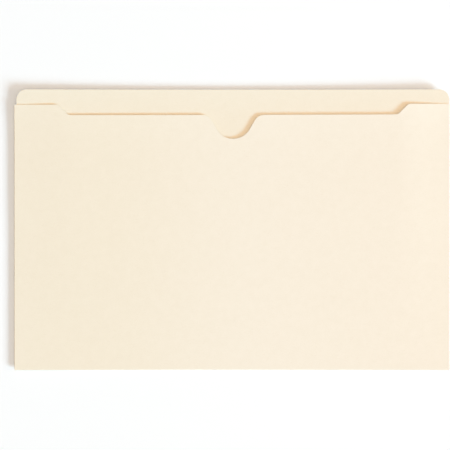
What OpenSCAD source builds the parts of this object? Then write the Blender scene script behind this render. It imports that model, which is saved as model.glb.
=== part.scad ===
// Flat file jacket, legal size: a paper pocket closed on three sides, with a full-height back panel
// whose straight tab stands above a stepped front edge with a thumb cut.
// It lies on its side flaps, tab towards +Y, front panel up. All sizes are in millimetres.

/* [Jacket] */
// Width over the two side folds
jacket_w = 374.65; // [300:0.05:420]
// Height from the bottom fold to the top of the tab
jacket_h = 241.3; // [200:0.1:300]
// Height of the tab that stands above the wings of the front panel
tab_rise = 12.7; // [8:0.1:30]

/* [Paper] */
// Thickness of the paper stock
stock_t = 0.28; // [0.2:0.01:0.5]
// Thickness of a dry glue film
glue_t = 0.05; // [0.03:0.01:0.15]
// Clear space in the closed pocket, between the front panel and the tab's inner ply
pocket_gap = 0.25; // [0.15:0.05:3]
// Gap at a score, between a panel and the fold that it turns into
score_gap = 0.1; // [0.08:0.01:0.3]

/* [Front edge] */
// Mean width of the two wings, from the side fold to where the edge turns down
wing_w = 34.5; // [20:0.5:60]
// How far the whole cut edge sits to the right of the jacket's middle
edge_shift = 1; // [-3:0.1:3]
// Drop from the wings to the middle of the front edge
step_drop = 9; // [6:0.1:16]
// Radius of the rounded corners of the step
step_r = 5.5; // [2:0.1:7]
// Slope of the step in degrees
step_slope = 45; // [40:1:70]
// Depth of the thumb cut below the middle of the front edge
thumb_depth = 20.5; // [18:0.1:30]
// Radius of the round bottom of the thumb cut
thumb_r = 16.5; // [8:0.1:18]
// Radius of the shoulders of the thumb cut
shoulder_r = 10; // [3:0.1:12]
// Slope of the thumb cut's flanks in degrees
thumb_slope = 60; // [50:1:70]

/* [Back panel and tab] */
// Play between the back panel's left edge and the inside of the left side fold
left_play = 1.6; // [0.05:0.05:3]
// Play between the back panel's right edge and the inside of the right side fold
right_play = 0.1; // [0.05:0.05:3]
// Corner radius of the tab
tab_r = 9; // [2:0.1:12]
// Height of the inner ply that doubles the tab
ply_h = 44.45; // [20:0.05:70]
// Margin that the ply's glue film keeps from its edges
ply_glue_margin = 7; // [2:0.5:12]

/* [Side flaps] */
// Width of each flap, from the side fold to its inner edge
flap_w = 28; // [18:0.5:45]
// Taper of the flap's ends in degrees
flap_taper = 25; // [10:1:40]
// Distance from the end of a flap's score to the end of the front panel's side
flap_relief = 0.8; // [0.6:0.1:8]
// Width of the glue line on each flap
glue_line_w = 12; // [6:0.5:16]
// Margin between the glue line and the flap's inner edge
glue_line_margin = 4; // [1:0.5:6]

/* [Hidden] */
$fn = 64;

paper_colour = [0.95, 0.88, 0.73];
inner_colour = [0.93, 0.86, 0.70];
glue_colour = [0.90, 0.88, 0.80];

// How far a cutting shape reaches past the edge that it cuts
overshoot = 1;

// Height of each layer, from the flaps that the jacket lies on up to the front panel
flap_glue_z = stock_t;
back_z = flap_glue_z + glue_t;
tab_glue_z = back_z + stock_t;
ply_z = tab_glue_z + glue_t;
front_z = ply_z + stock_t + pocket_gap;
jacket_t = front_z + stock_t;

// A side fold turns from the front panel to a flap, and the bottom fold from the front to the back
side_fold_r = jacket_t / 2;
bottom_fold_r = (jacket_t - back_z) / 2;

// How far in from its outer edge a side fold's inner face meets the back panel's rear face
fold_reach = side_fold_r - sqrt(pow(side_fold_r - stock_t, 2) - pow(side_fold_r - back_z, 2));

// Edges of the jacket seen from the front
side_x = jacket_w / 2;
score_x = side_x - side_fold_r;
top_y = jacket_h / 2;
bottom_y = -top_y;
wing_y = top_y - tab_rise;
fold_y = bottom_y + bottom_fold_r;
front_side_x = score_x - score_gap;
front_low_y = fold_y + score_gap;
back_left_x = fold_reach + left_play - side_x;
back_right_x = side_x - fold_reach - right_play;
ply_low_y = top_y - ply_h;

// Ends of the side scores, and how far a flap's tapered ends draw in
score_low_y = bottom_y + flap_relief;
score_high_y = wing_y - flap_relief;
taper_run = (flap_w - side_fold_r) * tan(flap_taper);

// Half the straight floor between the two steps of the front edge
step_rise = 1 - cos(step_slope);
step_flank = (step_drop - 2 * step_r * step_rise) / tan(step_slope);
step_floor = side_x - wing_w - 2 * step_r * sin(step_slope) - step_flank;

// A cut into an edge at y = 0: a floor, two floor arcs, straight flanks and two rounded shoulders
module flared_cut(depth, half_floor, floor_r, corner_r, slope) {
    rise = 1 - cos(slope);
    flank_h = depth - (floor_r + corner_r) * rise;
    low = [half_floor + floor_r * sin(slope), floor_r * rise - depth];
    high = low + flank_h * [1 / tan(slope), 1];
    corner = [high.x + corner_r * sin(slope), -corner_r];
    right = [[corner.x, overshoot], corner, high, low, [half_floor, -depth]];
    left = [for (i = [len(right) - 1 : -1 : 0]) [-right[i].x, right[i].y]];
    difference() {
        union() {
            polygon(concat(right, left));
            for (side = [-1, 1])
                translate([side * half_floor, floor_r - depth])
                    circle(floor_r);
        }
        for (side = [-1, 1])
            translate([side * corner.x, corner.y])
                circle(corner_r);
    }
}

// The front panel between its side scores, with the stepped edge and the thumb cut
module front_outline() {
    difference() {
        translate([-front_side_x, front_low_y])
            square([2 * front_side_x, wing_y - front_low_y]);
        translate([edge_shift, wing_y])
            flared_cut(step_drop, step_floor, step_r, step_r, step_slope);
        translate([edge_shift, wing_y - step_drop])
            flared_cut(thumb_depth, 0, thumb_r, shoulder_r, thumb_slope);
    }
}

// The back panel's outline from a given height up to the tab's rounded corners
module tab_outline(low_y) {
    back_w = back_right_x - back_left_x;
    translate([back_left_x, low_y])
        square([back_w, top_y - tab_r - low_y]);
    translate([back_left_x + tab_r, low_y])
        square([back_w - 2 * tab_r, top_y - low_y]);
    for (x = [back_left_x + tab_r, back_right_x - tab_r])
        translate([x, top_y - tab_r])
            circle(tab_r);
}

// A flap of the left side, drawn in towards its ends
module flap_outline() {
    polygon([
        [-score_x, score_low_y],
        [flap_w - side_x, score_low_y + taper_run],
        [flap_w - side_x, score_high_y - taper_run],
        [-score_x, score_high_y]
    ]);
}

// A sheet of the stock with its lower face at the given height
module sheet(z) {
    translate([0, 0, z])
        linear_extrude(stock_t)
            children();
}

// Half a tube of the stock, as a fold of the given outer radius leaves it
module fold(outer_r, length) {
    rotate_extrude(angle = 180)
        translate([outer_r - stock_t, 0])
            square([stock_t, length]);
}

module back_panel() {
    color(paper_colour)
        sheet(back_z)
            tab_outline(fold_y);
}

module tab_ply() {
    color(inner_colour)
        sheet(ply_z)
            tab_outline(ply_low_y);
}

module tab_glue() {
    color(glue_colour)
        translate([back_left_x + ply_glue_margin, ply_low_y + ply_glue_margin, tab_glue_z])
            cube([
                back_right_x - back_left_x - 2 * ply_glue_margin,
                ply_h - 2 * ply_glue_margin,
                glue_t
            ]);
}

module left_side_flap() {
    color(paper_colour)
        sheet(0)
            flap_outline();
}

module right_side_flap() {
    mirror([1, 0, 0])
        left_side_flap();
}

module left_glue_line() {
    low_y = score_low_y + taper_run + glue_line_margin;
    high_y = score_high_y - taper_run - glue_line_margin;
    color(glue_colour)
        translate([flap_w - glue_line_margin - glue_line_w - side_x, low_y, flap_glue_z])
            cube([glue_line_w, high_y - low_y, glue_t]);
}

module right_glue_line() {
    mirror([1, 0, 0])
        left_glue_line();
}

module left_side_fold() {
    color(paper_colour)
        translate([-score_x, score_low_y, side_fold_r])
            rotate([-90, 90, 0])
                fold(side_fold_r, score_high_y - score_low_y);
}

module right_side_fold() {
    mirror([1, 0, 0])
        left_side_fold();
}

module bottom_fold() {
    color(paper_colour)
        translate([-score_x, fold_y, back_z + bottom_fold_r])
            rotate([180, -90, 0])
                fold(bottom_fold_r, 2 * score_x);
}

module front_panel() {
    color(paper_colour)
        sheet(front_z)
            front_outline();
}

back_panel();
tab_ply();
tab_glue();
left_side_flap();
right_side_flap();
left_glue_line();
right_glue_line();
left_side_fold();
right_side_fold();
bottom_fold();
front_panel();
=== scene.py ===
# %% [markdown]
# # A manila file jacket
# A file jacket is a flat paper pocket for a drawer: one die-cut blank of manila card that is
# scored, folded and glued. Its back stands higher than its front and ends in a straight tab, and
# the front's upper edge steps down between two wings, with a thumb cut in the middle. The packed
# model gives the sizes. This lesson cuts the same blank, folds it with a rule and gives it the
# look of paper.

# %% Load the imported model
import math

import bpy
import numpy as np
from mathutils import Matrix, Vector
from mathutils.geometry import delaunay_2d_cdt


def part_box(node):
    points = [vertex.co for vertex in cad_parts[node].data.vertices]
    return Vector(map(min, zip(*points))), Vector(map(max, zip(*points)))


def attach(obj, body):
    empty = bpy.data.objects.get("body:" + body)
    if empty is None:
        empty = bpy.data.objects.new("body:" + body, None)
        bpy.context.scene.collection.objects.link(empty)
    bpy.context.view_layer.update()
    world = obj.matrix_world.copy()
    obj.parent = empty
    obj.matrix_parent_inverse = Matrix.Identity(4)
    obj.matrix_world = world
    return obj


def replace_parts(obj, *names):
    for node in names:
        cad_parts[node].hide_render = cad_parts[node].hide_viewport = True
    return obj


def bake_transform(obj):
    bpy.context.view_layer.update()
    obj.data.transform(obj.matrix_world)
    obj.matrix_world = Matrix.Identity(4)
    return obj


MM = 0.001
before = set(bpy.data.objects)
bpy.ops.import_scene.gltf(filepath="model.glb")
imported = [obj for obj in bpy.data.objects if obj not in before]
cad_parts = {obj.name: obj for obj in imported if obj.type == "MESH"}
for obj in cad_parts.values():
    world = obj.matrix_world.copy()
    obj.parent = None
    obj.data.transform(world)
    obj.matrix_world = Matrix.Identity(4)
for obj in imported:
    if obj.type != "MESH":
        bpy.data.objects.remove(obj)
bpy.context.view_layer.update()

# %% [markdown]
# ## Sizes
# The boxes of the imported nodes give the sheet's thickness, the edges and the fold radii, so the
# lesson follows the model if one of those changes. The die line of the front's upper edge, the
# flaps' taper and the tab's corners aren't in a box, so they are repeated here, in metres and
# radians. A fold is measured at the middle of the card, because that layer keeps its length when
# the card is bent. Pressed card is creased rather than bent round, so each fold reaches out less
# than it is high.

# %% Read the sizes
front_low, front_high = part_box("front_panel")
back_low, back_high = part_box("back_panel")
ply_low, ply_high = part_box("tab_ply")
fold_low, fold_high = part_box("left_side_fold")
flap_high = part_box("left_side_flap")[1]
turn_low, turn_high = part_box("bottom_fold")

CARD = front_high.z - front_low.z
SIDE_X = -fold_low.x
WING_Y = front_high.y
TOP_Y = back_high.y
SIDE_R = (fold_high.z - fold_low.z) / 2 - CARD / 2
SIDE_REACH = 0.3 * MM
SIDE_SCORE = SIDE_X - CARD / 2 - SIDE_REACH
BOTTOM_R = (turn_high.z - turn_low.z) / 2 - CARD / 2
BOTTOM_REACH = 0.25 * MM
BOTTOM_SCORE = turn_low.y + CARD / 2 + BOTTOM_REACH
FLAP_IN = -flap_high.x
FLAP_TAPER = math.radians(25)
TAB_R = 9 * MM

WING_W, EDGE_SHIFT = 34.5 * MM, 1 * MM
STEP_DROP, STEP_R, STEP_SLOPE = 9 * MM, 5.5 * MM, math.radians(45)
THUMB_DEPTH, THUMB_R, SHOULDER_R = 20.5 * MM, 16.5 * MM, 10 * MM
THUMB_SLOPE = math.radians(60)
print("card", round(CARD / MM, 3), "mm thick")
print("fold radii in mm: side", round(SIDE_R / MM, 3), "bottom", round(BOTTOM_R / MM, 3))

# %% [markdown]
# ## Camera
# The picture looks straight down on the jacket, which fills almost the whole width of a square
# frame and sits a little right of its middle and a little low. A long lens keeps the edges
# parallel. The height follows from the width that the frame takes in at the front panel.

# %% Make the camera
FRAME_W = 387.6 * MM
# The middle of the frame, measured from the middle of the jacket
FRAME_X, FRAME_Y = -6.05 * MM, 4.2 * MM
LENS, SENSOR = 100.0, 36.0
scene = bpy.context.scene
scene.view_settings.view_transform = "Standard"
camera = bpy.data.objects.new("camera", bpy.data.cameras.new("camera"))
scene.collection.objects.link(camera)
camera.data.lens = LENS
camera.data.sensor_width = SENSOR
camera.location = (FRAME_X, FRAME_Y, front_high.z + FRAME_W * LENS / SENSOR)
scene.camera = camera
print("camera height", round(camera.location.z, 3))

# %% [markdown]
# ## Expressions for nodes
# Shaders and geometry trees are both sums of many small Math nodes, which are hard to read when
# each is linked by hand. `Wire` holds a node's output, and its operators add the Math nodes, so
# that a rule can be written as a formula. `Bench.node` makes any other node: its type, its
# settings, then the values or wires of its sockets.

# %% Wires and benches
class Wire:
    """A node's output that can stand in a formula."""

    def __init__(self, bench, socket):
        self.bench, self.socket = bench, socket

    def __abs__(self):
        return self.bench.math("ABSOLUTE", self)


def teach(operator, reflected, operation):
    """Gives wires an operator and its reflected form, so that 1 - mask works as mask - 1 does."""
    setattr(Wire, operator, lambda self, other: self.bench.math(operation, self, other))
    setattr(Wire, reflected, lambda self, other: self.bench.math(operation, other, self))


teach("__add__", "__radd__", "ADD")
teach("__sub__", "__rsub__", "SUBTRACT")
teach("__mul__", "__rmul__", "MULTIPLY")
teach("__truediv__", "__rtruediv__", "DIVIDE")
teach("__pow__", "__rpow__", "POWER")
teach("__gt__", "__lt__", "GREATER_THAN")


class Bench:
    """A node tree that is being built."""

    def __init__(self, tree):
        self.tree = tree
        tree.nodes.clear()

    def node(self, kind, settings=None, sockets=None, out=0):
        """Adds a node, and returns the wire of one of its outputs if it has any."""
        made = self.tree.nodes.new(kind)
        for key, value in (settings or {}).items():
            setattr(made, key, value)
        for key, value in (sockets or {}).items():
            socket = self.find(made.inputs, key)
            if isinstance(value, Wire):
                self.tree.links.new(value.socket, socket)
            else:
                socket.default_value = value
        return Wire(self, self.find(made.outputs, out)) if made.outputs else made

    @staticmethod
    def find(sockets, key):
        """A socket by its number, or by its name among those that the settings leave in use."""
        if isinstance(key, int):
            return sockets[key]
        return next(s for s in sockets if s.name == key and s.enabled)

    def outputs_of(self, wire):
        """All outputs of a wire's node by name."""
        return {s.name: Wire(self, s) for s in wire.socket.node.outputs if s.enabled}

    def math(self, operation, *values):
        return self.node("ShaderNodeMath", {"operation": operation}, dict(enumerate(values)))

    def high(self, a, b):
        return self.math("MAXIMUM", a, b)

    def low(self, a, b):
        return self.math("MINIMUM", a, b)


print("operators ready")

# %% [markdown]
# ## Floor
# The jacket lies on a plain white floor. Light that enters card spreads sideways in it, and its
# red spreads furthest, so a shadow on card is more orange than one on the floor. The floor here is
# a little less red than white, and the lamp that lights it is redder than the jacket's by as much,
# so the floor is white in the light and nearly grey in the shadow.

# %% Make the floor
FLOOR_COLOUR = (0.955, 0.99, 1.0)
FLOOR_HALF = 8.0


def new_finish(name):
    """A new material, and a bench for its nodes."""
    mat = bpy.data.materials.new(name)
    mat.use_nodes = True
    return mat, Bench(mat.node_tree)


floor_mat, bench = new_finish("floor_white")
white = bench.node("ShaderNodeBsdfDiffuse", {}, {"Color": (*FLOOR_COLOUR, 1.0)})
bench.node("ShaderNodeOutputMaterial", {}, {"Surface": white})

corner_signs = ((-1, -1), (1, -1), (1, 1), (-1, 1))
floor_corners = [(FLOOR_HALF * x, FLOOR_HALF * y, 0) for x, y in corner_signs]
floor_mesh = bpy.data.meshes.new("floor")
floor_mesh.from_pydata(floor_corners, [], [(0, 1, 2, 3)])
floor_mesh.materials.append(floor_mat)
floor = bpy.data.objects.new("floor", floor_mesh)
scene.collection.objects.link(floor)
print("floor", 2 * FLOOR_HALF, "m wide")

# %% [markdown]
# ## Lamps
# One broad lamp stands at the lower right, only 20 degrees high, so that an edge two millimetres
# up throws a shadow of five to the upper left, as in the picture. It is made three times, once for
# the front, once for the floor and once for the sheets inside, and each is linked to what it lights
# when the pieces are there. The inner one is cooler still and a little lower, and a warm glow from
# overhead, for the same sheets alone, makes up for what it lacks, so a shadow there is orange. A
# weak panel at the right makes that side a little brighter than the left.

# %% Make the lamps
LAMP_PLAN = Vector((0.857, -0.515, 0.0)).normalized()
LAMP_HEIGHT, LAMP_SPREAD = math.radians(20.0), math.radians(19.0)
INNER_PLAN = Vector((0.879, -0.477, 0.0)).normalized()
INNER_HEIGHT, INNER_SPREAD = math.radians(17.5), math.radians(12.0)
# How much of the light on the floor a lamp gives
LAMP_SHARE, GLOW_SHARE = 0.3, 0.116
LAMP_COLOUR = (0.66, 1.06, 1.32)
FLOOR_LAMP_COLOUR = (0.82, 1.095, 1.32)
INNER_LAMP_COLOUR = (0.31, 0.84, 1.32)
GLOW_COLOUR, GLOW_SPREAD = (1.0, 0.63, 0.0), math.radians(60.0)
PANEL_AT, PANEL_SIZE = Vector((1.5, -0.07, 0.68)), 0.4
PANEL_POWER, PANEL_COLOUR = 5.57, (1.0, 0.65, 0.47)


def towards(plan, height):
    """The direction to a lamp that stands that way on the plan, at that angle above the floor."""
    return plan * math.cos(height) + Vector((0, 0, math.sin(height)))


def new_lamp(name, kind, direction, colour):
    """A lamp that shines from a direction."""
    made = bpy.data.objects.new(name, bpy.data.lights.new(name, kind))
    scene.collection.objects.link(made)
    made.rotation_mode = "QUATERNION"
    made.rotation_quaternion = direction.to_track_quat("Z", "Y")
    made.data.color = colour
    return made


def sun(name, direction, spread, share, colour):
    """A lamp so far off that its light comes from one direction."""
    made = new_lamp(name, "SUN", direction, colour)
    made.data.energy = share * math.pi / direction.z
    made.data.angle = spread
    return made


to_lamp = towards(LAMP_PLAN, LAMP_HEIGHT)
to_inner = towards(INNER_PLAN, INNER_HEIGHT)
lamp = sun("lamp", to_lamp, LAMP_SPREAD, LAMP_SHARE, LAMP_COLOUR)
floor_lamp = sun("floor_lamp", to_lamp, LAMP_SPREAD, LAMP_SHARE, FLOOR_LAMP_COLOUR)
inner_lamp = sun("inner_lamp", to_inner, INNER_SPREAD, LAMP_SHARE, INNER_LAMP_COLOUR)
inner_glow = sun("inner_glow", Vector((0, 0, 1)), GLOW_SPREAD, GLOW_SHARE, GLOW_COLOUR)

panel = new_lamp("side_panel", "AREA", PANEL_AT, PANEL_COLOUR)
panel.location = PANEL_AT
panel.data.size = PANEL_SIZE
panel.data.energy = PANEL_POWER
print("lamp at", round(math.degrees(LAMP_HEIGHT), 1), "degrees above the floor")

# %% [markdown]
# ## Surroundings
# The rest of the light is a fill from the surroundings, which is strongest overhead, so that
# little of it is lost where one sheet lies close on another. The shadows in the picture are warm,
# so the panel and the fill are warm and the lamp is cool by as much: together they are neutral,
# and a colour renders about as it is written. Camera and mirror rays see a white room.

# %% Make the surroundings
FILL = (0.719, 0.634, 0.564)
# The fill from the horizon and from overhead: a third of the step between them falls on the floor
FILL_LOW, FILL_TOP, FILL_GATHER = 0.2, 2.6, 4.0
WHITE = (1.0, 1.0, 1.0, 1.0)

world = bpy.data.worlds.new("surroundings")
world.use_nodes = True
scene.world = world
bench = Bench(world.node_tree)
ray = bench.outputs_of(bench.node("ShaderNodeLightPath"))
mirrored = bench.high(ray["Is Camera Ray"], ray["Is Glossy Ray"])
seen = bench.high(mirrored, ray["Is Transmission Ray"])
sky_way = bench.node("ShaderNodeTexCoord", out="Generated")
up_share = bench.outputs_of(bench.node("ShaderNodeSeparateXYZ", {}, {"Vector": sky_way}))["Z"]
glow = FILL_LOW + (FILL_TOP - FILL_LOW) * up_share ** FILL_GATHER
sky = bench.node("ShaderNodeBackground", {}, {"Color": (*FILL, 1.0), "Strength": glow})
room = bench.node("ShaderNodeBackground", {}, {"Color": WHITE, "Strength": 1.0})
both = bench.node("ShaderNodeMixShader", {}, {0: seen, 1: sky, 2: room})
bench.node("ShaderNodeOutputWorld", {}, {"Surface": both})
print("surroundings", len(world.node_tree.nodes), "nodes")

# %% [markdown]
# ## Patterns in card
# Manila is an uncoated, buff-coloured card. It has no gloss, and from a step away its colour is
# almost even. Closer by, the pulp shows as faint clouds some millimetres wide, with short fibres
# lying mostly one way, some paler and some browner, and a fine tooth that can be felt. Each of
# these is one noise on Object coordinates in millimetres. A fibre is a noise that is stretched
# along its length and cut off near its peaks.

# %% Helpers for patterns
# Two families each of pale and brown fibres: turn, length and width in millimetres, and a seed
PALE_FIBRES = ((0.2, 2.6, 0.22, 3.0), (-0.35, 2.0, 0.2, 17.0))
BROWN_FIBRES = ((0.06, 1.9, 0.2, 41.0), (-0.7, 1.4, 0.18, 59.0))
FIBRE_NOISE = {"Scale": 1.0, "Detail": 1.0, "Roughness": 0.4}
# A fibre begins to show where its noise is over the first level, and shows fully over the second
FIBRE_LEVELS = (0.66, 0.74)


def in_mm(bench, seed=0.0):
    """Object coordinates in millimetres, moved by a seed so that no two cards look the same."""
    return bench.node(
        "ShaderNodeMapping", {},
        {
            "Vector": bench.node("ShaderNodeTexCoord", out="Object"),
            "Scale": (1 / MM, 1 / MM, 1 / MM),
            "Location": (seed, 0, 0),
        },
    )


def noise(bench, place, sizes):
    return bench.node("ShaderNodeTexNoise", {}, {"Vector": place, **sizes})


def ramp(bench, value, start, end, kind="SMOOTHSTEP"):
    """A share that goes from 0 to 1 while a value goes from start to end."""
    return bench.node(
        "ShaderNodeMapRange", {"interpolation_type": kind},
        {"Value": value, "From Min": start, "From Max": end, "To Min": 0.0, "To Max": 1.0},
    )


def fibres(bench, place, families):
    """A mask of short thin fibres from two families, which lie at different angles."""
    masks = []
    for turn, length, width, seed in families:
        along = bench.node("ShaderNodeMapping", {}, {"Vector": place, "Rotation": (0.0, 0.0, turn)})
        scale = (1 / length, 1 / width, 1 / width)
        thin = bench.node(
            "ShaderNodeMapping", {}, {"Vector": along, "Scale": scale, "Location": (seed, 0, 0)}
        )
        masks.append(ramp(bench, noise(bench, thin, FIBRE_NOISE), *FIBRE_LEVELS))
    return bench.high(*masks)


def mix(bench, factor, a, b, blend="MIX"):
    """Two colours or colour wires, mixed by a wire."""
    return bench.node(
        "ShaderNodeMix", {"data_type": "RGBA", "blend_type": blend},
        {"Factor": factor, "A": a, "B": b}, "Result",
    )


print("fibre families", len(PALE_FIBRES) + len(BROWN_FIBRES))

# %% [markdown]
# ## Manila card
# The card's own tone comes first, then the clouds and the fibres in it. The left third of the
# jacket is a shade darker and yellower because less light falls there, and a smooth ramp across the
# width paints that shade into the card's colour: it is painted shade, not a tone of the card. A
# fold is a little browner from handling, and it is darkened further, by an attribute that the
# folding rule writes, to tone down how brightly the low lamp lights it: part wear, part painted
# shade. A cut edge shows the paler, rougher inside of the card, so it is a card of its own with a
# paler tone and a stronger tooth.

# %% Make the card
STOCK = (0.956, 0.861, 0.723)
TAB = (0.926, 0.819, 0.661)
EDGE = (0.95, 0.88, 0.75)
CLOUD_NOISE = {"Scale": 0.16, "Detail": 4.0, "Roughness": 0.62}
GRAIN_NOISE = {"Scale": 3.2, "Detail": 2.0, "Roughness": 0.5}
# What the tone is multiplied by in the clouds and the fibres
CLOUD_LEVELS, CLOUD_DARK, CLOUD_PALE = (0.3, 0.7), (0.99, 0.988, 0.982), (1.008, 1.009, 1.012)
FIBRE_SHARE, FIBRE_PALE, FIBRE_BROWN = 0.3, (1.06, 1.06, 1.06), (0.86, 0.8, 0.7)
# The painted shade on the left runs from the right of the middle to the left, in millimetres
LEFT_SHADE_FROM, LEFT_SHADE_TO, LEFT_SHADE_TINT = 35.0, -135.0, (0.972, 0.96, 0.923, 1.0)
# A fold's darker tint: part handling wear, part painted shade that tones down the lamp's bright rim
FOLD_WEAR_AND_SHADE_SHARE, FOLD_WEAR_AND_SHADE_TINT = 0.9, (0.86, 0.84, 0.79, 1.0)
# The tooth is made of grain, pale fibres and brown fibres, and is felt more on a cut edge
TOOTH_GRAIN, TOOTH_PALE, TOOTH_BROWN, TOOTH_HEIGHT = 0.7, 0.35, 0.25, 0.04 * MM
FACE_TOOTH, CUT_TOOTH = 0.18, 0.35
CARD_ROUGH, GRAIN_ROUGH, RUBBED_SMOOTH, CARD_GLOSS = 0.86, 0.12, 0.1, 0.05


def tinted(tone, by):
    """A tone times a tint, as a socket takes it."""
    return (*(min(1.0, c * k) for c, k in zip(tone, by)), 1.0)


def card(name, tone, seed, tooth=FACE_TOOTH, left_shade_share=1.0):
    """Manila card of one tone."""
    mat, bench = new_finish(name)
    place = in_mm(bench, seed)
    cloud = noise(bench, place, CLOUD_NOISE)
    grain = noise(bench, place, GRAIN_NOISE)
    pale = fibres(bench, place, PALE_FIBRES)
    brown = fibres(bench, place, BROWN_FIBRES)
    fold_wear_and_shade = bench.node("ShaderNodeAttribute", {"attribute_name": "rubbed_and_shaded"}, out="Fac")

    shade = ramp(bench, cloud, *CLOUD_LEVELS, "LINEAR")
    colour = mix(bench, shade, tinted(tone, CLOUD_DARK), tinted(tone, CLOUD_PALE))
    colour = mix(bench, pale * FIBRE_SHARE, colour, tinted(tone, FIBRE_PALE))
    colour = mix(bench, brown * FIBRE_SHARE, colour, tinted(tone, FIBRE_BROWN))
    across = bench.outputs_of(bench.node("ShaderNodeSeparateXYZ", {}, {"Vector": place}))["X"]
    # Painted shade: the left third of the card is darkened and yellowed, where less light falls
    left_shade = ramp(bench, across, seed + LEFT_SHADE_FROM, seed + LEFT_SHADE_TO)
    colour = mix(bench, left_shade * left_shade_share, colour, LEFT_SHADE_TINT, "MULTIPLY")
    # Folds are darkened: part handling wear, part painted shade
    colour = mix(bench, fold_wear_and_shade * FOLD_WEAR_AND_SHADE_SHARE, colour, FOLD_WEAR_AND_SHADE_TINT, "MULTIPLY")

    relief = grain * TOOTH_GRAIN + pale * TOOTH_PALE + brown * TOOTH_BROWN
    bump = bench.node(
        "ShaderNodeBump", {}, {"Strength": tooth, "Distance": TOOTH_HEIGHT, "Height": relief}
    )
    skin = bench.node(
        "ShaderNodeBsdfPrincipled", {},
        {
            "Base Color": colour,
            "Roughness": CARD_ROUGH + grain * GRAIN_ROUGH - fold_wear_and_shade * RUBBED_SMOOTH,
            "Specular IOR Level": CARD_GLOSS,
            "Normal": bump,
        },
    )
    bench.node("ShaderNodeOutputMaterial", {}, {"Surface": skin})
    return mat


stock_mat = card("manila_card", STOCK, seed=0.0)
# The tab takes less of the painted shade on the left
tab_mat = card("manila_tab_card", TAB, seed=230.0, left_shade_share=0.4)
edge_mat = card("manila_cut_edge", EDGE, seed=510.0, tooth=CUT_TOOTH)
print("materials", [m.name for m in (stock_mat, tab_mat, edge_mat)])

# %% [markdown]
# ## Dry glue
# The maker joins the tab's inner ply and the two side flaps with thin stripes of white glue, which
# dry to a clear, faintly yellow film. They lie between the sheets, so they show only where a sheet
# is lifted. Small ripples and a soft gloss are enough.

# %% Make the glue
RIPPLE_NOISE = {"Scale": 0.6, "Detail": 2.0}
RIPPLE_STRENGTH, RIPPLE_HEIGHT = 0.3, 0.05 * MM
GLUE_DARK, GLUE_PALE = (0.82, 0.77, 0.62, 1.0), (0.9, 0.87, 0.76, 1.0)
GLUE_ROUGH, RIPPLE_ROUGH = 0.3, 0.25


def dry_glue(name):
    """Glue that has dried to a rippled film."""
    mat, bench = new_finish(name)
    ripple = noise(bench, in_mm(bench), RIPPLE_NOISE)
    bump = bench.node(
        "ShaderNodeBump", {},
        {"Strength": RIPPLE_STRENGTH, "Distance": RIPPLE_HEIGHT, "Height": ripple},
    )
    skin = bench.node(
        "ShaderNodeBsdfPrincipled", {},
        {
            "Base Color": mix(bench, ripple, GLUE_DARK, GLUE_PALE),
            "Roughness": GLUE_ROUGH + ripple * RIPPLE_ROUGH,
            "Normal": bump,
        },
    )
    bench.node("ShaderNodeOutputMaterial", {}, {"Surface": skin})
    return mat


glue_mat = dry_glue("dry_glue_film")
print("material", glue_mat.name)

# %% [markdown]
# ## The die line
# A die cuts the blank from the flat card, so each piece starts as a flat outline with true arcs.
# The step and the thumb cut are the same kind of curve: a floor, a hollow arc, a straight flank
# and a rounded shoulder. One function draws both, from the middle of the cut outwards.

# %% Draw half the die line
ARC_STEPS = 14


def flared(depth, half_floor, floor_r, corner_r, slope, edge_y):
    """One half of a flared cut, from its floor outwards and up to the edge at edge_y."""
    floor_c = Vector((half_floor, edge_y - depth + floor_r))
    low = floor_c + floor_r * Vector((math.sin(slope), -math.cos(slope)))
    flank = depth - (floor_r + corner_r) * (1 - math.cos(slope))
    high = low + Vector((flank / math.tan(slope), flank))
    corner_c = Vector((high.x + corner_r * math.sin(slope), edge_y - corner_r))
    turns = [slope * i / ARC_STEPS for i in range(ARC_STEPS + 1)]
    hollow = [floor_c + floor_r * Vector((math.sin(a), -math.cos(a))) for a in turns]
    shoulder = [
        corner_c + corner_r * Vector((-math.sin(a), math.cos(a))) for a in reversed(turns)
    ]
    return hollow + shoulder


step_flank = (STEP_DROP - 2 * STEP_R * (1 - math.cos(STEP_SLOPE))) / math.tan(STEP_SLOPE)
step_floor = SIDE_X - WING_W - 2 * STEP_R * math.sin(STEP_SLOPE) - step_flank
edge_line = flared(THUMB_DEPTH, 0.0, THUMB_R, SHOULDER_R, THUMB_SLOPE, WING_Y - STEP_DROP)
edge_line += flared(STEP_DROP, step_floor, STEP_R, STEP_R, STEP_SLOPE, WING_Y)
print(len(edge_line), "points on half the die line, from y", round(edge_line[0].y / MM, 2), "mm")

# %% [markdown]
# ## Filling an outline
# A bend needs points to bend at. So an outline gets points at even steps and at each row where the
# card will be folded, and it is filled with triangles over an even grid, with close rows along the
# folds. Grid points that come too near the outline are left out, because they would make slivers.

# %% Fill a flat blank
GRID = 4.5 * MM
# The share of a grid step that a loose point keeps from the outline
SHEET_ROOM, FILM_ROOM = 0.45, 0.3
# Points closer than this are one point, and a length below the second one is none, in metres
SAME, TINY = 1e-6, 1e-9
# The filling works in millimetres: how close it welds, and that it keeps what lies inside
FILL_WELD, FILL_INSIDE = 1e-4, 1


def refine(points, step, rows_x=(), rows_y=()):
    """Adds points along a closed outline: a step apart, and at each fold row that it crosses."""
    out = []
    for a, b in zip(points, points[1:] + points[:1]):
        run = b - a
        parts = max(1, math.ceil(run.length / step))
        stops = {i / parts for i in range(parts)}
        for axis, rows in ((0, rows_x), (1, rows_y)):
            if abs(run[axis]) > TINY:
                crossings = [(row - a[axis]) / run[axis] for row in rows]
                stops.update(t for t in crossings if 0.0 < t < 1.0)
        kept = []
        for t in sorted(stops):
            if not kept or (t - kept[-1]) * run.length > SAME:
                kept.append(t)
        out += [a + run * t for t in kept]
    return out


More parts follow.
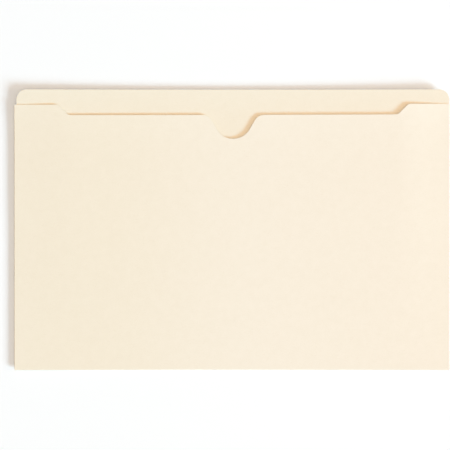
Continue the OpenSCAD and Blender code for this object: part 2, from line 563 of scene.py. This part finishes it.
def keep_inside(points, outline, room):
    """Those of the points that lie inside an outline, and not nearer to it than some room."""
    p = np.array(points, float)
    a = np.array([tuple(v) for v in outline], float)
    b = np.roll(a, -1, axis=0)
    inside = np.zeros(len(p), bool)
    near = np.full(len(p), np.inf)
    for (ax, ay), (bx, by) in zip(a, b):
        crosses = (ay > p[:, 1]) != (by > p[:, 1])
        with np.errstate(divide="ignore", invalid="ignore"):
            at = (bx - ax) * (p[:, 1] - ay) / (by - ay) + ax
        inside ^= crosses & (p[:, 0] < at)
        d = np.array((bx - ax, by - ay))
        t = np.clip(((p - (ax, ay)) @ d) / max(d @ d, TINY ** 2), 0, 1)
        near = np.minimum(near, np.hypot(*(p - (ax, ay) - t[:, None] * d).T))
    return [Vector(q) for q in p[inside & (near > room)]]


def fill(name, outline, loose, lines=()):
    """A flat mesh of triangles inside an outline, through the loose points and along the lines."""
    points, edges = outline + loose, []
    for line in lines:
        edges += [(i, i + 1) for i in range(len(points), len(points) + len(line) - 1)]
        points = points + line
    loop = list(range(len(outline)))
    flat = delaunay_2d_cdt([v / MM for v in points], edges, [loop], FILL_INSIDE, FILL_WELD)
    mesh = bpy.data.meshes.new(name)
    mesh.from_pydata([(v.x * MM, v.y * MM, 0) for v in flat[0]], [], flat[2])
    mesh.validate()
    if sum(p.normal.z for p in mesh.polygons) < 0:
        mesh.flip_normals()
    return mesh


def fill_plain(name, corners, low, high, room):
    """A flat mesh without folds, over an even grid in its box."""
    outline = refine(corners, GRID)
    across, up = np.arange(low.x + GRID, high.x, GRID), np.arange(low.y + GRID, high.y, GRID)
    loose = keep_inside([(x, y) for x in across for y in up], outline, GRID * room)
    return fill(name, outline, loose)


print("grid step", round(GRID / MM, 2), "mm")

# %% [markdown]
# ## One half of the front, with its folds
# On the real jacket the front panel, the two side flaps and the bottom fold are one piece of card.
# Here it is made in two halves that meet below the middle of the thumb cut, because each half has
# to bend from its own sealed side when the mouth opens. A half's blank holds half of the front,
# its side flap past the side score, and the strip that turns round the bottom. The flap tapers at
# both ends. One more row of points runs close beside each score, so that the panel stays flat
# right up to the crease.

# %% Cut the front's half blanks
FOLD_STEPS = 14
BESIDE = 0.12 * MM
# How far the points inside a fold row keep from its two ends
ROW_END = GRID / 3


def half_front(name, side):
    """The flat blank of the left (-1) or right (1) half, drawn outwards from the cut's middle."""
    score = SIDE_SCORE - side * EDGE_SHIFT
    turns = range(FOLD_STEPS + 1)
    side_rows = [score + math.pi * SIDE_R * i / FOLD_STEPS for i in turns]
    bottom_rows = [BOTTOM_SCORE - math.pi * BOTTOM_R * i / FOLD_STEPS for i in turns]
    low_y, high_y = fold_low.y, fold_high.y
    flap_x, bottom_y = side_rows[-1], bottom_rows[-1]
    flap_run = SIDE_SCORE - FLAP_IN
    taper = flap_run * math.tan(FLAP_TAPER)
    corners = edge_line + [
        Vector((score, WING_Y)),
        Vector((score, high_y)),
        Vector((flap_x, high_y)),
        Vector((flap_x + flap_run, high_y - taper)),
        Vector((flap_x + flap_run, low_y + taper)),
        Vector((flap_x, low_y)),
        Vector((score, low_y)),
        Vector((score, bottom_y)),
        Vector((0.0, bottom_y)),
    ]
    upright, level = [score - BESIDE] + side_rows, [BOTTOM_SCORE + BESIDE] + bottom_rows
    outline = refine(corners, GRID, upright, level)

    across = np.linspace(0.0, score, math.ceil(score / GRID) + 1)
    past = np.arange(flap_x + GRID, flap_x + flap_run, GRID)
    up = np.arange(BOTTOM_SCORE + GRID, WING_Y, GRID)
    grid = [(x, y) for x in [*across[1:-1], *past] for y in up]
    loose = keep_inside(grid, outline, GRID * SHEET_ROOM)
    lines = [[Vector((x, y)) for x in across] for y in level[:-1]]
    fold_y = [low_y] + [y for y in up if low_y + ROW_END < y < high_y - ROW_END] + [high_y]
    lines += [[Vector((x, y)) for y in fold_y] for x in side_rows]
    lines += [[Vector((score - BESIDE, y)) for y in [bottom_y, *fold_y[1:-1], WING_Y]]]

    def placed(points):
        return [Vector((EDGE_SHIFT + side * v.x, v.y)) for v in points]

    return fill(name, placed(outline), placed(loose), [placed(line) for line in lines])


left_blank = half_front("front_left_half", -1)
right_blank = half_front("front_right_half", 1)
for mesh in (left_blank, right_blank):
    print(mesh.name, len(mesh.polygons), "triangles")

# %% [markdown]
# ## The folding rule
# Folding is a rule on the flat blank: past a score, a point goes round the fold by its distance,
# and past half a turn it runs back along the other side. The same rule then lets the jacket lie as
# paper does. The middle of the back sags on to the floor, and the sides and the tab curl up by
# about two millimetres. The front bows off the tab along the mouth, is gripped by its sealed
# sides, and leans by a fraction of a millimetre, since it was not folded quite square. Geometry
# Nodes fit this, since all sheets share one rule and differ only in a few named inputs.

# %% Where a point of the blank goes
# The tab's curl gathers at its top, and the sides' extra lift swells a little above the middle
TAB_GATHER, LIFT_SWELL = 6.0, 5


def round_fold(bench, past, radius):
    """How far out and how far down a point is that lies past a score, as shares of the fold."""
    turn = bench.low(past / radius, math.pi)
    return bench.math("SINE", turn), (1 - bench.math("COSINE", turn)) / 2


def folded_place(bench, given):
    """A point's place on the folded jacket, and how far out on a fold it lies, for the fold's wear
    and painted shade.
    """
    flat = bench.node("GeometryNodeInputPosition")
    flat = bench.outputs_of(bench.node("ShaderNodeSeparateXYZ", {}, {"Vector": flat}))
    x, y = flat["X"], flat["Y"]
    past_side = bench.high(abs(x) - given["Side Score"], 0.0)
    side_out, side_drop = round_fold(bench, past_side, given["Side Radius"])
    flap_run = bench.high(past_side - math.pi * given["Side Radius"], 0.0)
    across = abs(x) - past_side + given["Side Reach"] * side_out - flap_run
    past_bottom = bench.high(given["Bottom Score"] - y, 0.0)
    bottom_out, bottom_drop = round_fold(bench, past_bottom, given["Bottom Radius"])
    up = y + past_bottom - given["Bottom Reach"] * bottom_out
    drop = 2 * (given["Side Radius"] * side_drop + given["Bottom Radius"] * bottom_drop)
    on_front = 1 - bench.high(side_drop, bottom_drop)

    u = across / given["Half Width"]
    v = bench.high(up / given["Top"], 0.0)
    side_curl = given["Left Curl"] + (given["Right Curl"] - given["Left Curl"]) * (x > 0.0)
    side_lift = given["Side Lift"] * (1 - v) * (1 + LIFT_SWELL * v)
    tab_curl = given["Tab Curl"] * (1 + given["Corner Share"] * u * u) * v ** TAB_GATHER
    lie = u * u * (side_curl + side_lift) + tab_curl - given["Sag"]

    open_up, open_run = up - given["Bottom Score"], given["Mouth"] - given["Bottom Score"]
    open_share = bench.high(open_up / open_run, 0.0)
    held = ramp(bench, u, given["Grip Start"], given["Grip End"])
    hand = bench.math("SIGN", x)
    bow = given["Mouth Bow"] * (1 + given["Bow Skew"] * u * hand) * (1 - held) * open_share
    lean = given["Lean"] * u * hand * open_share * on_front
    height = given["Height"] - drop + lie + (bow - given["Pinch"] * held) * on_front
    place = bench.node(
        "ShaderNodeCombineXYZ", {}, {"X": across * hand, "Y": up + lean, "Z": height}
    )
    return place, bench.high(side_out, bottom_out)


print("rule for a point ready")

# %% [markdown]
# ## Thickness and finish
# The folded layer is the middle of the card, so it is moved in by half the thickness and grown out
# by the whole of it. The walls that grow along the outline are the cut faces, and an attribute
# marks them for the edge's finish. Shading is smooth except at the sharp corners of those walls.

# %% Give the layer the card's thickness
CRISP_ANGLE = math.radians(50)


def thickened(bench, layer, given):
    """A layer with the card's thickness, closed all round."""
    inwards = bench.node(
        "ShaderNodeVectorMath", {"operation": "SCALE"},
        {"Vector": bench.node("GeometryNodeInputNormal"), "Scale": given["Thickness"] * -0.5},
    )
    inner = bench.node("GeometryNodeSetPosition", {}, {"Geometry": layer, "Offset": inwards})
    grown = bench.node(
        "GeometryNodeExtrudeMesh", {"mode": "FACES"},
        {"Mesh": inner, "Offset Scale": given["Thickness"], "Individual": False},
    )
    wall = bench.outputs_of(grown)["Side"]
    grown = bench.node(
        "GeometryNodeStoreNamedAttribute", {"data_type": "BOOLEAN", "domain": "FACE"},
        {"Geometry": grown, "Name": "cut_edge", "Value": wall},
    )
    lining = bench.node("GeometryNodeFlipFaces", {}, {"Mesh": inner})
    both = bench.node("GeometryNodeJoinGeometry")
    for part in (grown, lining):
        bench.tree.links.new(part.socket, both.socket.node.inputs[0])
    return bench.node("GeometryNodeMergeByDistance", {}, {"Geometry": both, "Distance": SAME})


def finished(bench, sheet, given):
    """A sheet with its shading and its two materials."""
    soft = bench.node(
        "GeometryNodeSetShadeSmooth", {"domain": "FACE"}, {"Geometry": sheet, "Shade Smooth": True}
    )
    angle = bench.outputs_of(bench.node("GeometryNodeInputMeshEdgeAngle"))["Unsigned Angle"]
    crisp = bench.node(
        "GeometryNodeSetShadeSmooth", {"domain": "EDGE"},
        {"Geometry": soft, "Selection": angle > CRISP_ANGLE, "Shade Smooth": False},
    )
    real = bench.node("GeometryNodeRealizeInstances", {}, {"Geometry": crisp})
    dressed = bench.node(
        "GeometryNodeSetMaterial", {}, {"Geometry": real, "Material": given["Card"]}
    )
    is_wall = bench.node(
        "GeometryNodeInputNamedAttribute", {"data_type": "BOOLEAN"}, {"Name": "cut_edge"}
    )
    return bench.node(
        "GeometryNodeSetMaterial", {},
        {"Geometry": dressed, "Selection": is_wall, "Material": given["Cut Edge"]},
    )


print("corners sharper than", round(math.degrees(CRISP_ANGLE)), "degrees stay crisp")

# %% [markdown]
# ## The tree
# The tree names its inputs, moves each point, notes how far out on a fold it lies, for the fold's
# wear and painted shade, and gives the layer its thickness and finish. A modifier's input is set by
# its socket's identifier, so the identifiers are kept by name.

# %% Build the folding tree
MEASURES = (
    "Height", "Thickness", "Half Width", "Top", "Side Score", "Side Radius", "Side Reach",
    "Bottom Score", "Bottom Radius", "Bottom Reach", "Mouth", "Mouth Bow", "Bow Skew", "Pinch",
    "Lean", "Grip Start", "Grip End", "Sag", "Left Curl", "Right Curl", "Side Lift", "Tab Curl",
    "Corner Share",
)


def folding_tree():
    """The node tree that folds a flat blank."""
    tree = bpy.data.node_groups.new("fold_and_curl", "GeometryNodeTree")
    bench = Bench(tree)
    tree.interface.new_socket("Sheet", in_out="OUTPUT", socket_type="NodeSocketGeometry")
    kinds = {"Blank": "Geometry", **dict.fromkeys(MEASURES, "Float")}
    kinds.update({"Card": "Material", "Cut Edge": "Material"})
    for name, kind in kinds.items():
        tree.interface.new_socket(name, in_out="INPUT", socket_type="NodeSocket" + kind)
    given = bench.outputs_of(bench.node("NodeGroupInput"))

    place, fold_wear_and_shade = folded_place(bench, given)
    bent = bench.node(
        "GeometryNodeSetPosition", {}, {"Geometry": given["Blank"], "Position": place}
    )
    # How far out on a fold each point lies, for the fold's wear and painted shade
    bent = bench.node(
        "GeometryNodeStoreNamedAttribute", {"data_type": "FLOAT", "domain": "POINT"},
        {"Geometry": bent, "Name": "rubbed_and_shaded", "Value": fold_wear_and_shade},
    )
    sheet = finished(bench, thickened(bench, bent, given), given)
    bench.node("NodeGroupOutput", {}, {"Sheet": sheet})
    return tree


rule = folding_tree()
rule_inputs = {s.name: s.identifier for s in rule.interface.items_tree if s.in_out == "INPUT"}
print("folding rule:", len(rule.nodes), "nodes,", len(rule_inputs) - 1, "inputs")

# %% [markdown]
# ## How the jacket lies
# These few numbers are the whole pose of the paper. They were set by the width of the shadows: at
# the lamp's angle each millimetre of height throws almost three of shadow. It is wider at the left
# edge and at the tab's corners than in the middle of the tab, so the sides curl up. The thin
# shadow on the tab is narrower at the wings and wider towards the right, so the sealed sides grip
# the front, the left one further in, and the front bows more to the right. A sheet without folds
# has its scores a metre out, where no point of it lies.

# %% Fold the front
LIE = {
    "Half Width": SIDE_X, "Top": TOP_Y, "Sag": back_low.z,
    "Left Curl": 1.7 * MM, "Right Curl": 1.6 * MM, "Side Lift": 0.44 * MM,
    "Tab Curl": 2.68 * MM, "Corner Share": 0.2,
}
FLAT = {
    "Side Score": 1.0, "Side Radius": 1.0, "Side Reach": 1.0,
    "Bottom Score": -1.0, "Bottom Radius": 1.0, "Bottom Reach": 1.0,
    "Mouth": 1.0, "Mouth Bow": 0.0, "Bow Skew": 0.0, "Pinch": 0.0, "Lean": 0.0,
    "Grip Start": 1.0, "Grip End": 2.0,
}
FOLDED = {
    "Side Score": SIDE_SCORE, "Side Radius": SIDE_R, "Side Reach": SIDE_REACH,
    "Bottom Score": BOTTOM_SCORE, "Bottom Radius": BOTTOM_R, "Bottom Reach": BOTTOM_REACH,
    "Mouth": WING_Y, "Mouth Bow": 1.08 * MM, "Bow Skew": 0.26, "Pinch": 0.12 * MM,
    "Lean": 0.43 * MM, "Grip End": 1.02,
}
LEFT_FOLDED, RIGHT_FOLDED = {**FOLDED, "Grip Start": 0.72}, {**FOLDED, "Grip Start": 0.76}


def middle(low, high):
    """The height of the middle of a box."""
    return (low.z + high.z) / 2


def fold(mesh, height, thickness, skin, edge, scores):
    """Runs the folding rule on a flat blank and returns a plain mesh object."""
    name = mesh.name
    flat = bpy.data.objects.new("blank", mesh)
    scene.collection.objects.link(flat)
    run = flat.modifiers.new("fold", "NODES")
    run.node_group = rule
    values = {**LIE, **scores, "Height": height, "Thickness": thickness}
    values.update({"Card": skin, "Cut Edge": edge})
    for key, value in values.items():
        run[rule_inputs[key]] = value
    ready = flat.evaluated_get(bpy.context.evaluated_depsgraph_get())
    made = bpy.data.meshes.new_from_object(ready)
    # The blank has no material, which leaves an empty slot before the two of the sheet
    if made.materials[0] is None:
        made.materials.pop(index=0)
    bpy.data.objects.remove(flat)
    bpy.data.meshes.remove(mesh)
    made.name = name
    piece = bpy.data.objects.new(name, made)
    scene.collection.objects.link(piece)
    top = max(v.co.z for v in made.vertices)
    print(name, len(made.polygons), "faces, top at", round(top / MM, 2), "mm")
    return piece


front_mid = middle(front_low, front_high)
front_left = fold(left_blank, front_mid, CARD, stock_mat, edge_mat, LEFT_FOLDED)
front_right = fold(right_blank, front_mid, CARD, stock_mat, edge_mat, RIGHT_FOLDED)

# %% [markdown]
# ## Back and tab
# Behind the front lies the full-height back, which ends in the tab with its two rounded corners. A
# second ply is glued to the tab's inner face, so that it stays stiff in the drawer. Both are flat
# blanks with the same corners, put through the same rule with no score to fold at.

# %% Make the back and the tab's ply
QUARTER, QUARTER_STEPS = math.pi / 2, 12


def tab_blank(name, low, high):
    """A flat blank from a box's lower edge up to the tab's two rounded corners."""
    corners = [Vector((low.x, low.y)), Vector((high.x, low.y))]
    centre_y = high.y - TAB_R
    for centre_x, start in ((high.x - TAB_R, 0.0), (low.x + TAB_R, QUARTER)):
        for i in range(QUARTER_STEPS + 1):
            a = start + QUARTER * i / QUARTER_STEPS
            corners.append(Vector((centre_x + TAB_R * math.cos(a), centre_y + TAB_R * math.sin(a))))
    return fill_plain(name, corners, low, high, SHEET_ROOM)


back_blank = tab_blank("back_sheet", back_low, back_high)
back = fold(back_blank, middle(back_low, back_high), CARD, stock_mat, edge_mat, FLAT)
ply_blank = tab_blank("tab_ply_sheet", ply_low, ply_high)
ply = fold(ply_blank, middle(ply_low, ply_high), CARD, tab_mat, edge_mat, FLAT)

# %% [markdown]
# ## Glue films
# Each film is a plain stripe that follows the same curl as the two sheets that it holds together.

# %% Make the glue films
def film(node):
    """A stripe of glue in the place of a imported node."""
    low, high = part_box(node)
    ends = ((low.x, low.y), (high.x, low.y), (high.x, high.y), (low.x, high.y))
    blank = fill_plain(node + "_film", [Vector(end) for end in ends], low, high, FILM_ROOM)
    return fold(blank, middle(low, high), high.z - low.z, glue_mat, glue_mat, FLAT)


films = {node: film(node) for node in ("tab_glue", "left_glue_line", "right_glue_line")}

# %% [markdown]
# ## Which sheet goes where
# The mouth opens by the front bowing away from the back, while its two sides stay sealed. Here the
# two halves of the front are fixed where they lie and take the place of the front's nodes, and
# everything else stays with the back.

# %% Tie the pieces to the model
for piece, side, hand in ((front_left, -1, "left"), (front_right, 1, "right")):
    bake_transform(piece)
    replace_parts(piece, "front_panel", "bottom_fold", hand + "_side_fold", hand + "_side_flap")
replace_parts(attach(back, "back"), "back_panel")
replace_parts(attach(ply, "back"), "tab_ply")
for node, piece in films.items():
    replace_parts(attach(piece, "back"), node)

# %% [markdown]
# ## What each lamp lights
# Each lamp gets a collection of the things that it lights, or of those that it leaves out. The
# front keeps the first lamp, and the sheets inside are the back, the tab's ply and the glue.

# %% Link the lamps
def light(lamp, things, state):
    """Lets a lamp light only some things ("INCLUDE"), or all but those ("EXCLUDE")."""
    group = bpy.data.collections.new(lamp.name + "_lights")
    for thing in things:
        group.objects.link(thing)
    for entry in group.collection_objects:
        entry.light_linking.link_state = state
    lamp.light_linking.receiver_collection = group


inner_sheets = [back, ply, *films.values()]
light(lamp, [floor, *inner_sheets], "EXCLUDE")
light(floor_lamp, [floor], "INCLUDE")
light(inner_lamp, inner_sheets, "INCLUDE")
light(inner_glow, inner_sheets, "INCLUDE")
print("lamps linked", [o.name for o in (lamp, floor_lamp, inner_lamp, inner_glow)])
